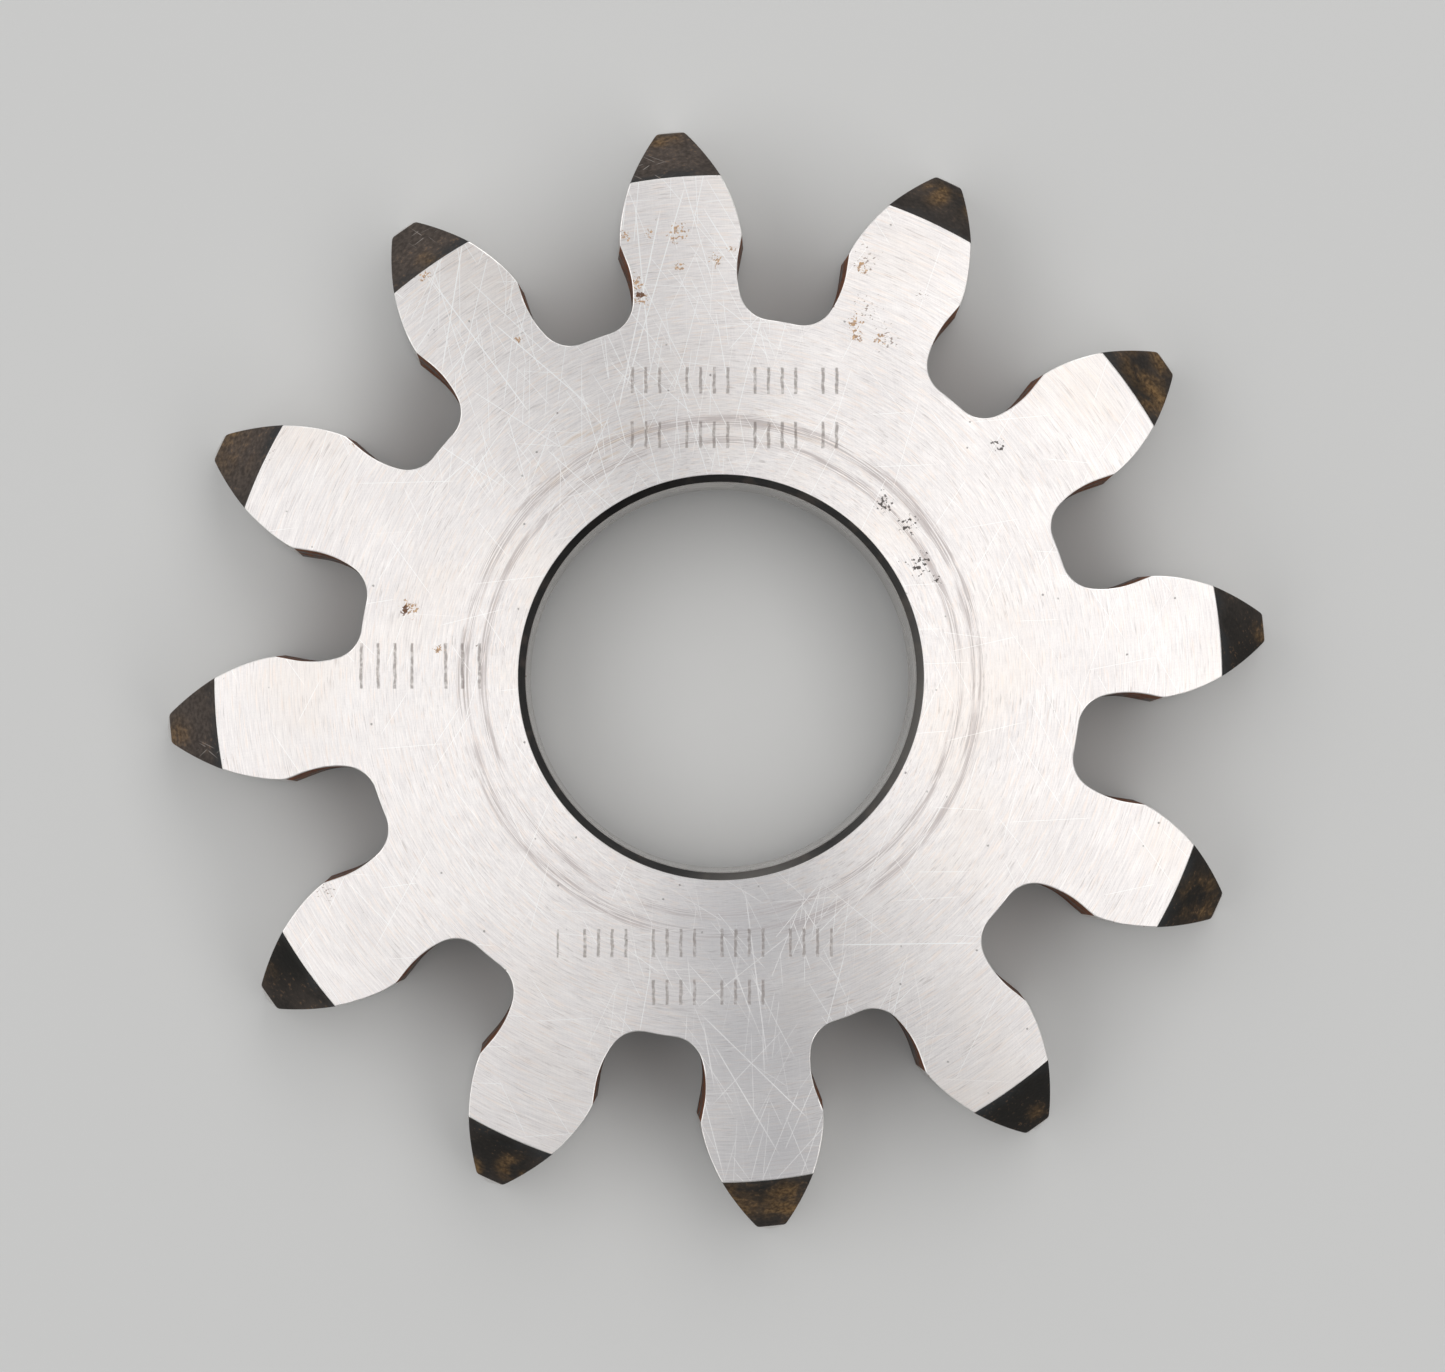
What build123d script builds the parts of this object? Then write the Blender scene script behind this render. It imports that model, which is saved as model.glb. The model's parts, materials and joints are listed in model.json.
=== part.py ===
from build123d import *
import os
from math import atan2, cos, degrees, hypot, radians, sin, sqrt, tan

# A disc-type gear shaper cutter, made from one piece of high-speed steel: a thick ring whose
# twelve involute teeth grow wider and longer from the ground back face down to the cutting face.
# It lies on its cutting face. The origin is on the bore's axis, level with the lowest points,
# which are the tips of the cutting edges. +Z runs along the bore, out of the back face, and the
# first tooth points along +X. Everything is in millimetres and degrees.

# Gear data, as the cutter is marked with it.
TEETH = 12
MODULE = 10
PRESSURE_ANGLE = 20
OUTSIDE_DIAMETER = 146.8
BORE_DIAMETER = 50

# Body.
THICKNESS = 18
BORE_CHAMFER = 1.05
SEAT_CHAMFER = 0.6
SEAT_DIAMETER = 78
RAKE_ANGLE = 5

# Tooth tips: a relieved cone, cut away behind by a wide 45 degree chamfer.
TIP_RELIEF_ANGLE = 9.6
TIP_CHAMFER = 7.1

# Involute flanks: the tooth's thickness on the pitch circle at the cutting edge, and its relief.
PITCH_THICKNESS = 16.1
SIDE_RELIEF_ANGLE = 1.8

# Root: each gap ends in a rounded pocket that undercuts the teeth. These are its sizes at the
# back face; towards the cutting face the pocket shrinks by its two reliefs.
ROOT_RADIUS = 46.35
ROOT_RELIEF_ANGLE = 4
ROOT_FILLET = 4.25
NECK_DISTANCE = 50.83
NECK_HALF_WIDTH = 6.77
NECK_RELIEF_ANGLE = 1.1
NECK_ARC_RADIUS = 12.5
SHOULDER_ANGLE = 16.2

# How far the cutting tools of this model run past the body.
OVERRUN = 2
POCKET_END = 60
GAP_END = 80
INVOLUTE_STEPS = 6

pitch_radius = MODULE * TEETH / 2
base_radius = pitch_radius * cos(radians(PRESSURE_ANGLE))
half_pitch = 180 / TEETH


def polar(radius, angle):
    """The point at this radius and angle in degrees."""
    return Vector(radius * cos(radians(angle)), radius * sin(radians(angle)))


def blank():
    """The turned disc: bore, ground back face, tip chamfer, tip cone and hollow cutting face."""
    bore = BORE_DIAMETER / 2
    tip = OUTSIDE_DIAMETER / 2
    seat = SEAT_DIAMETER / 2
    seat_height = (tip - seat) * tan(radians(RAKE_ANGLE))
    chamfer_height = THICKNESS - TIP_CHAMFER
    chamfer_radius = tip - chamfer_height * tan(radians(TIP_RELIEF_ANGLE))
    section = Polyline(
        (bore, THICKNESS - BORE_CHAMFER),
        (bore + BORE_CHAMFER, THICKNESS),
        (chamfer_radius - TIP_CHAMFER, THICKNESS),
        (chamfer_radius, chamfer_height),
        (tip, 0),
        (seat, seat_height),
        (bore + SEAT_CHAMFER, seat_height),
        (bore, seat_height + SEAT_CHAMFER),
        close=True,
    )
    return revolve(Plane.XZ * make_face(section), Axis.Z)


def flank(height):
    """One involute side of a gap that is centred on +X, from the base circle outwards."""
    thickness = PITCH_THICKNESS - 2 * height * tan(radians(SIDE_RELIEF_ANGLE))
    pressure = radians(PRESSURE_ANGLE)
    base_half_angle = thickness / (2 * pitch_radius) + tan(pressure) - pressure
    last_roll = sqrt((GAP_END / base_radius) ** 2 - 1)
    points = []
    for step in range(INVOLUTE_STEPS + 1):
        roll = last_roll * step / INVOLUTE_STEPS
        tooth_angle = base_half_angle - (roll - atan2(roll, 1))
        points.append(polar(base_radius * hypot(1, roll), half_pitch - degrees(tooth_angle)))
    return Spline(*points)


def pocket_side(height):
    """One side of a root pocket centred on +X: fillet, neck arc and straight shoulder."""
    depth = THICKNESS - height
    root = ROOT_RADIUS + depth * tan(radians(ROOT_RELIEF_ANGLE))
    neck = NECK_HALF_WIDTH + depth * tan(radians(NECK_RELIEF_ANGLE))

    # Worked out beside a tooth that points along +X. The fillet's centre is the point that makes
    # it touch both the root circle and the neck arc.
    neck_centre = Vector(NECK_DISTANCE, neck + NECK_ARC_RADIUS)
    to_fillet = root + ROOT_FILLET
    between = NECK_ARC_RADIUS - ROOT_FILLET
    along = (neck_centre.length**2 + to_fillet**2 - between**2) / (2 * neck_centre.length)
    across = sqrt(to_fillet**2 - along**2)
    outward = neck_centre.normalized()
    fillet_centre = outward * along + Vector(outward.Y, -outward.X) * across

    root_angle = degrees(atan2(fillet_centre.Y, fillet_centre.X))
    toward_fillet = fillet_centre - neck_centre
    join_angle = degrees(atan2(toward_fillet.Y, toward_fillet.X))
    shoulder_start = neck_centre + polar(NECK_ARC_RADIUS, SHOULDER_ANGLE - 90)
    run = (POCKET_END - shoulder_start.X) / cos(radians(SHOULDER_ANGLE))
    side = Curve() + [
        CenterArc(fillet_centre, ROOT_FILLET, root_angle - 180, join_angle + 180 - root_angle),
        CenterArc(neck_centre, NECK_ARC_RADIUS, join_angle, SHOULDER_ANGLE - 90 - join_angle),
        Line(shoulder_start, shoulder_start + polar(run, SHOULDER_ANGLE)),
    ]
    return Rot(0, 0, -half_pitch) * side


def outline(side, inner_radius, height):
    """A face at this height between one side of a gap and its mirror image."""
    other = mirror(side, Plane.XZ)
    ends = sorted(side.vertices(), key=lambda vertex: vertex.X)
    start, end = Vector(ends[0]), Vector(ends[-1])
    inner = ThreePointArc(start, (inner_radius, 0), (start.X, -start.Y))
    outer = Line(end, (end.X, -end.Y))
    return Pos(0, 0, height) * make_face(Curve() + [side, inner, other, outer])


def gap():
    """The space between two teeth, centred on +X, as one solid that is taken from the blank."""
    heights = (-OVERRUN, THICKNESS + OVERRUN)
    flanks = [outline(flank(height), base_radius, height) for height in heights]
    pockets = []
    for height in heights:
        root = ROOT_RADIUS + (THICKNESS - height) * tan(radians(ROOT_RELIEF_ANGLE))
        pockets.append(outline(pocket_side(height), root, height))
    return loft(flanks, ruled=True) + loft(pockets, ruled=True)


def cutter():
    """The blank with its twelve gaps cut."""
    body = blank()
    one_gap = gap()
    for tooth in range(TEETH):
        body -= Rot(0, 0, (2 * tooth + 1) * half_pitch) * one_gap
    return body


os.makedirs("parts", exist_ok=True)
export_step(cutter(), "parts/cutter.step")
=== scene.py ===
import json
from math import atan2, cos, hypot, pi, radians, sin, sqrt, tan

import bpy
from mathutils import Matrix, Vector, noise


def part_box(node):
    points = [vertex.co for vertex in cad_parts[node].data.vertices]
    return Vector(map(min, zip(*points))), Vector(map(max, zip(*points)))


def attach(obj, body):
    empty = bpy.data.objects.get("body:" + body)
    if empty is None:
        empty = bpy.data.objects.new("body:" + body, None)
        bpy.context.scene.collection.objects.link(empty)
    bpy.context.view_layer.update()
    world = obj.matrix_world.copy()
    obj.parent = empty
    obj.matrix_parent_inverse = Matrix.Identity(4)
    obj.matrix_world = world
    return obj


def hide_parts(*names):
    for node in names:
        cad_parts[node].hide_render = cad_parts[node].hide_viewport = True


# A disc-type gear shaper cutter of one piece of high-speed steel, lying on its cutting face with
# its ground back face up. Lengths are millimetres, apart from those of the floor and the lights.

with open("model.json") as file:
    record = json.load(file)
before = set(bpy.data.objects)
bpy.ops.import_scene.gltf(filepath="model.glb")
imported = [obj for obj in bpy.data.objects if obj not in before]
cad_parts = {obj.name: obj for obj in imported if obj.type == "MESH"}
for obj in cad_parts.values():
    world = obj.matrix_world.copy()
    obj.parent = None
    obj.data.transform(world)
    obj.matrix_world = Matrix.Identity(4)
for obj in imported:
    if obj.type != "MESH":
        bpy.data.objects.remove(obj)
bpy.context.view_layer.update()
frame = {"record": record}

MM = 0.001

# Sizes that the frame gives.
low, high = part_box("cutter")
mounts = {mount["name"]: mount for mount in frame["record"]["mounts"]}
TIP_RADIUS = -low.x / MM
THICKNESS = (high.z - low.z) / MM
BORE_RADIUS = mounts["bore"]["dims"]["r_mm"]

# Gear data.
TEETH = 12
MODULE = 10
PRESSURE_ANGLE = radians(20)
PITCH_RADIUS = MODULE * TEETH / 2
BASE_RADIUS = PITCH_RADIUS * cos(PRESSURE_ANGLE)
HALF_PITCH = pi / TEETH

# Turned shape. The rim is where the chamfer behind each tooth's end begins.
BORE_CHAMFER = 1.05
SEAT_CHAMFER = 0.6
SEAT_RADIUS = 39
RAKE_SLOPE = tan(radians(5))
TIP_RELIEF = tan(radians(9.6))
TIP_CHAMFER = 7.1
RIM_HEIGHT = THICKNESS - TIP_CHAMFER

# Tooth flanks: the tooth's thickness on the pitch circle at the cutting edge, and its relief.
PITCH_THICKNESS = 16.1
SIDE_RELIEF = tan(radians(1.8))

# Undercut roots: their sizes at the back face, and their reliefs.
ROOT_RADIUS = 46.35
ROOT_RELIEF = tan(radians(4))
ROOT_FILLET = 4.25
NECK_DISTANCE = 50.83
NECK_HALF_WIDTH = 6.77
NECK_RELIEF = tan(radians(1.1))
NECK_ARC_RADIUS = 12.5
SHOULDER_ANGLE = radians(16.2)

# Edges: how far they are broken or worn, and how unevenly.
EDGE = 0.13
CUTTING_EDGE = 0.06
RIM_ROUNDING = 0.35
CUTTING_CORNER = 0.65
BACK_CORNER = 0.3
BORE_EDGE = 0.12
BORE_RIM = 0.05
WEAR_SHARE = 0.45
WEAR_SCALE = 0.8

# The photograph's view: the camera's place over the back face and its turn.
CAMERA_DISTANCE = 423
CAMERA_FOOT = (-5.5, -5.2)
CAMERA_TILT = (radians(1.44), radians(-2.36))
CAMERA_LENS = 82.2
CAMERA_SHIFT = (-0.0637, -0.0355)
VIEW_TURN = radians(5.32)


# ---------------------------------------------------------------- the cutter's outline

# Steps along each stretch of half a tooth, from the middle of its end to the middle of the gap.
END_STEPS = 4
CORNER_STEPS = 4
FLANK_STEPS = 16
SHOULDER_STEPS = 7
NECK_STEPS = 8
FILLET_STEPS = 10
ROOT_STEPS = 3
FLANK_START = END_STEPS + CORNER_STEPS
FLANK_END = FLANK_START + FLANK_STEPS
FILLET_START = FLANK_END + SHOULDER_STEPS + NECK_STEPS
HALF_STEPS = FILLET_START + FILLET_STEPS + ROOT_STEPS

# Steps down the wall, across each tooth's faces, from the teeth in to the bore and down the bore.
CHAMFER_ROWS = 8
RIM_ROWS = 6
LOWER_ROWS = 12
ACROSS_STEPS = 2 * FLANK_START
HUB_RINGS = 18
BORE_ROWS = 10

# How much closer together the steps lie at the ends of the flank and of the shoulder.
EASE = 0.6

# The kink between flank and shoulder lies between roll 0 and this roll.
WIDEST_KINK_ROLL = 0.6
HALVINGS = 30

# Faces that meet at more than this angle meet in a sharp edge.
SHARP_ANGLE = radians(24)


def polar(radius, angle):
    """The point in plan at this radius and angle."""
    return Vector((radius * cos(angle), radius * sin(angle)))


def direction(vector):
    """The angle at which a vector in plan points."""
    return atan2(vector.y, vector.x)


def rotated(point, angle):
    """A point in plan after a turn round the bore's axis."""
    return Matrix.Rotation(angle, 2) @ point


def spread(start, end, steps, ease=0.0):
    """Even steps from start to end. Ease from 0 to 1 draws them closer together at the ends."""
    shares = [step / steps for step in range(steps + 1)]
    return [start + (end - start) * (s - ease * sin(2 * pi * s) / (2 * pi)) for s in shares]


def tip_radius(height):
    """Radius of the tooth ends: relieved cone, rounded rim and 45 degree chamfer."""
    above = height - RIM_HEIGHT
    radius = TIP_RADIUS - height * TIP_RELIEF
    if above > 0:
        radius = TIP_RADIUS - RIM_HEIGHT * TIP_RELIEF - above
    near = max(0, RIM_ROUNDING - abs(above))
    return radius - (1 - TIP_RELIEF) * near**2 / (4 * RIM_ROUNDING)


def corner_radius(height):
    """Rounding between tooth end and flank, which shrinks within a millimetre above the rim."""
    share = min(1, max(0, height - RIM_HEIGHT))
    return CUTTING_CORNER + (BACK_CORNER - CUTTING_CORNER) * share


def involute(half_angle, roll):
    """A point on the tooth flank whose half angle on the base circle is given."""
    return polar(BASE_RADIUS * hypot(1, roll), half_angle - (roll - atan2(roll, 1)))


def end_and_flank(height, half_angle, kink):
    """From the middle of the tooth's end, round its corner and down the flank to the kink."""
    tip = tip_radius(height)
    corner = corner_radius(height)
    centre_roll = sqrt(((tip - corner) / BASE_RADIUS) ** 2 - 1)
    centre = involute(half_angle - corner / BASE_RADIUS, centre_roll)
    last_roll = centre_roll + corner / BASE_RADIUS
    corner_angles = spread(direction(centre), half_angle - last_roll + pi / 2, CORNER_STEPS)
    points = [polar(tip, angle) for angle in spread(0, direction(centre), END_STEPS)]
    points += [centre + polar(corner, angle) for angle in corner_angles[1:]]
    rolls = spread(last_roll, kink, FLANK_STEPS, EASE)
    return points + [involute(half_angle, roll) for roll in rolls[1:]]


def neck_and_root(height, neck_centre):
    """From the end of the shoulder, round the neck and the fillet to the middle of the gap."""
    root = ROOT_RADIUS + (THICKNESS - height) * ROOT_RELIEF
    to_fillet = root + ROOT_FILLET
    between = NECK_ARC_RADIUS - ROOT_FILLET
    along = (neck_centre.length_squared + to_fillet**2 - between**2) / (2 * neck_centre.length)
    across = sqrt(to_fillet**2 - along**2)
    outward = neck_centre.normalized()
    fillet_centre = outward * along + Vector((outward.y, -outward.x)) * across

    join = direction(fillet_centre - neck_centre)
    root_angle = direction(fillet_centre)
    neck_angles = spread(SHOULDER_ANGLE - pi / 2, join, NECK_STEPS)
    fillet_angles = spread(join, root_angle - pi, FILLET_STEPS)
    points = [neck_centre + polar(NECK_ARC_RADIUS, angle) for angle in neck_angles[1:]]
    points += [fillet_centre + polar(ROOT_FILLET, angle) for angle in fillet_angles[1:]]
    return points + [polar(root, angle) for angle in spread(root_angle, HALF_PITCH, ROOT_STEPS)[1:]]


def kink_roll(half_angle, shoulder):
    """Roll at which the flank meets the straight shoulder of the undercut, found by halving."""
    across = polar(1, SHOULDER_ANGLE + pi / 2)
    inner, outer = 0, WIDEST_KINK_ROLL
    for _ in range(HALVINGS):
        roll = (inner + outer) / 2
        if (involute(half_angle, roll) - shoulder).dot(across) > 0:
            inner = roll
        else:
            outer = roll
    return roll


def half_tooth(height):
    """The outline of half a tooth along +X at this height, from its end to the middle of the gap."""
    thickness = PITCH_THICKNESS - 2 * height * SIDE_RELIEF
    half_angle = thickness / (2 * PITCH_RADIUS) + tan(PRESSURE_ANGLE) - PRESSURE_ANGLE
    neck = NECK_HALF_WIDTH + (THICKNESS - height) * NECK_RELIEF
    neck_centre = Vector((NECK_DISTANCE, neck + NECK_ARC_RADIUS))
    shoulder = neck_centre + polar(NECK_ARC_RADIUS, SHOULDER_ANGLE - pi / 2)
    kink = kink_roll(half_angle, shoulder)
    kink_point = involute(half_angle, kink)
    points = end_and_flank(height, half_angle, kink)
    shares = spread(0, 1, SHOULDER_STEPS, EASE)
    points += [kink_point.lerp(shoulder, share) for share in shares[1:]]
    return points + neck_and_root(height, neck_centre)


def full_outline(height):
    """The points of the whole outline at this height, tooth after tooth."""
    half = half_tooth(height)
    other_half = [Vector((point.x, -point.y)) for point in half]
    outline = []
    for tooth in range(TEETH):
        turn = 2 * HALF_PITCH * tooth
        outline += [rotated(point, turn) for point in half[:-1]]
        outline += [rotated(point, turn + 2 * HALF_PITCH) for point in other_half[:0:-1]]
    return outline


def station(index):
    """How many steps a point of the outline is from the middle of the nearest tooth's end."""
    step = index % (2 * HALF_STEPS)
    return min(step, 2 * HALF_STEPS - step)


def inset(outline, amount):
    """The outline drawn inwards by an amount that varies a little along it."""
    moved = []
    for before, point, after in zip(outline[-1:] + outline, outline, outline[1:] + outline[:1]):
        along = (after - before).normalized()
        wear = 1 + WEAR_SHARE * noise.noise(Vector((point.x, point.y, 1)) * WEAR_SCALE)
        moved.append(point + Vector((-along.y, along.x)) * amount * wear)
    return moved


# ---------------------------------------------------------------- building the mesh

MATERIAL_NAMES = (
    "back_face", "tip_land", "tip_relief", "flank", "root_wall",
    "bright_edge", "bore_chamfer", "bore_wall", "rake_face",
)


class Shape:
    """Points and faces of the mesh while it is being built."""

    def __init__(self):
        self.points = []
        self.faces = []
        self.slots = []

    def add(self, point, height):
        self.points.append((point.x * MM, point.y * MM, height * MM))
        return len(self.points) - 1

    def quad(self, corners, material):
        self.faces.append(corners)
        self.slots.append(MATERIAL_NAMES.index(material))

    def strip(self, one, other, material, flip=False):
        """Quads between two rows of points of the same length. Flip turns their sides over."""
        for corners in zip(one, one[1:], other[1:], other):
            self.quad(corners[::-1] if flip else corners, material)

    def ring_strip(self, one, other, material, flip=False):
        self.strip(one + one[:1], other + other[:1], material, flip)


def back_height(radius):
    """Height of the back face, which is flat."""
    return THICKNESS


def rake_height(radius):
    """Height of the dished cutting face and of the flat seat inside it."""
    return (TIP_RADIUS - max(radius, SEAT_RADIUS)) * RAKE_SLOPE


def wall_heights():
    """Heights of the wall's rows: down the chamfer, round the rim and down to the cutting edge."""
    chamfer = spread(THICKNESS - EDGE, RIM_HEIGHT + RIM_ROUNDING, CHAMFER_ROWS)
    rim = spread(RIM_HEIGHT + RIM_ROUNDING, RIM_HEIGHT - RIM_ROUNDING, RIM_ROWS)
    lower = spread(RIM_HEIGHT - RIM_ROUNDING, 0, LOWER_ROWS)
    return chamfer + rim[1:] + lower[1:]


def wall_height(point, height):
    """A wall point's own height: below the rim the rows bend to follow the dished face."""
    start = RIM_HEIGHT - RIM_ROUNDING
    lowest = rake_height(point.length) + CUTTING_EDGE
    share = max(0, start - height) / start
    return max(height, start) + (lowest - start) * share


def wall_material(steps, height):
    """The material of a side face, by its steps from the tooth's end and its height."""
    if steps < FLANK_START:
        return "tip_land" if height > RIM_HEIGHT else "tip_relief"
    return "flank" if steps < FLANK_END else "root_wall"


def add_walls(shape):
    """Tooth flanks, ends and roots. Returns the topmost and the lowest row and their outlines."""
    heights = wall_heights()
    outlines = [full_outline(height) for height in heights]
    rows = []
    for height, outline in zip(heights, outlines):
        rows.append([shape.add(point, wall_height(point, height)) for point in outline])
    for upper, lower, top, bottom in zip(rows, rows[1:], heights, heights[1:]):
        for index in range(len(upper)):
            after = (index + 1) % len(upper)
            corners = (upper[index], lower[index], lower[after], upper[after])
            steps = min(station(index), station(after))
            shape.quad(corners, wall_material(steps, (top + bottom) / 2))
    return (rows[0], outlines[0]), (rows[-1], outlines[-1])


def add_edge(shape, wall_end, amount, height_of, below=False):
    """A rounded edge in two steps, from the end of the wall to the border of a face."""
    row, outline = wall_end
    for turn in (pi / 4, pi / 2):
        sink = amount * (1 - sin(turn))
        inner = inset(outline, amount * (1 - cos(turn)))
        previous = row
        row = []
        for point in inner:
            height = height_of(point.length)
            row.append(shape.add(point, height + sink if below else height - sink))
        shape.ring_strip(previous, row, "bright_edge", below)
    return row


def add_teeth_face(shape, row, height_of, material, below):
    """Rows of quads across each tooth. Returns the points left round the hub."""
    ring = []
    for start in range(0, len(row), 2 * HALF_STEPS):
        left = [row[start + step] for step in range(HALF_STEPS + 1)]
        right = [row[start - step] for step in range(HALF_STEPS + 1)]
        previous = right[FLANK_START:0:-1] + left[:FLANK_START + 1]
        for step in range(FLANK_START + 1, FILLET_START + 1):
            first, last = (Vector(shape.points[end[step]]).xy / MM for end in (right, left))
            inner = [first.lerp(last, share) for share in spread(0, 1, ACROSS_STEPS)[1:-1]]
            across = [shape.add(point, height_of(point.length)) for point in inner]
            across = [right[step], *across, left[step]]
            shape.strip(across, previous, material, below)
            previous = across
        gap_end = start + 2 * HALF_STEPS - FILLET_START
        ring += previous[:-1] + row[start + FILLET_START:gap_end]
    return ring


def add_hub_face(shape, ring, inner_radius, height_of, material, below):
    """Rings from a star-shaped row of points to a circle round the bore."""
    start = [Vector(shape.points[index]).xy / MM for index in ring]
    previous = ring
    for share in spread(0, 1, HUB_RINGS)[1:]:
        points = [point.lerp(point.normalized() * inner_radius, share) for point in start]
        current = [shape.add(point, height_of(point.length)) for point in points]
        shape.ring_strip(current, previous, material, below)
        previous = current
    return previous


def add_face(shape, wall_end, edge, inner_radius, height_of, material, below=False):
    """One side of the cutter, from the end of its wall in to the bore."""
    row = add_edge(shape, wall_end, edge, height_of, below)
    ring = add_teeth_face(shape, row, height_of, material, below)
    return add_hub_face(shape, ring, inner_radius, height_of, material, below)


def add_bore(shape, top, bottom):
    """Chamfer, wall and lower chamfer of the bore, between the two faces' inner rings."""
    wall_start = THICKNESS - BORE_CHAMFER - BORE_EDGE
    wall_end = rake_height(0) + SEAT_CHAMFER
    profile = [
        (BORE_RADIUS + BORE_CHAMFER - BORE_RIM, THICKNESS - BORE_RIM, "bright_edge"),
        (BORE_RADIUS + BORE_EDGE, THICKNESS - BORE_CHAMFER + BORE_EDGE / 2, "bore_chamfer"),
        (BORE_RADIUS, wall_start, "bright_edge"),
    ]
    profile += [(BORE_RADIUS, z, "bore_wall") for z in spread(wall_start, wall_end, BORE_ROWS)[1:]]
    outward = [Vector(shape.points[index]).xy.normalized() for index in top]
    previous = top
    for radius, height, material in profile:
        current = [shape.add(way * radius, height) for way in outward]
        shape.ring_strip(current, previous, material)
        previous = current
    shape.ring_strip(bottom, previous, "bore_chamfer")


def build_cutter():
    """The whole cutter as one closed mesh.

    Its two faces and its bore are wound inwards, its walls and their rounded edges outwards.
    """
    shape = Shape()
    top_end, low_end = add_walls(shape)
    top_bore = BORE_RADIUS + BORE_CHAMFER
    low_bore = BORE_RADIUS + SEAT_CHAMFER
    top_ring = add_face(shape, top_end, EDGE, top_bore, back_height, "back_face")
    low_ring = add_face(shape, low_end, CUTTING_EDGE, low_bore, rake_height, "rake_face", below=True)
    add_bore(shape, top_ring, low_ring)

    mesh = bpy.data.meshes.new("cutter_body")
    mesh.from_pydata(shape.points, [], shape.faces)
    for name in MATERIAL_NAMES:
        mesh.materials.append(bpy.data.materials[name])
    mesh.polygons.foreach_set("material_index", shape.slots)
    mesh.polygons.foreach_set("use_smooth", [True] * len(mesh.polygons))
    mesh.set_sharp_from_angle(angle=SHARP_ANGLE)
    mesh.update()
    cutter = bpy.data.objects.new("cutter_body", mesh)
    bpy.context.scene.collection.objects.link(cutter)
    return cutter


# ---------------------------------------------------------------- node helpers

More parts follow.
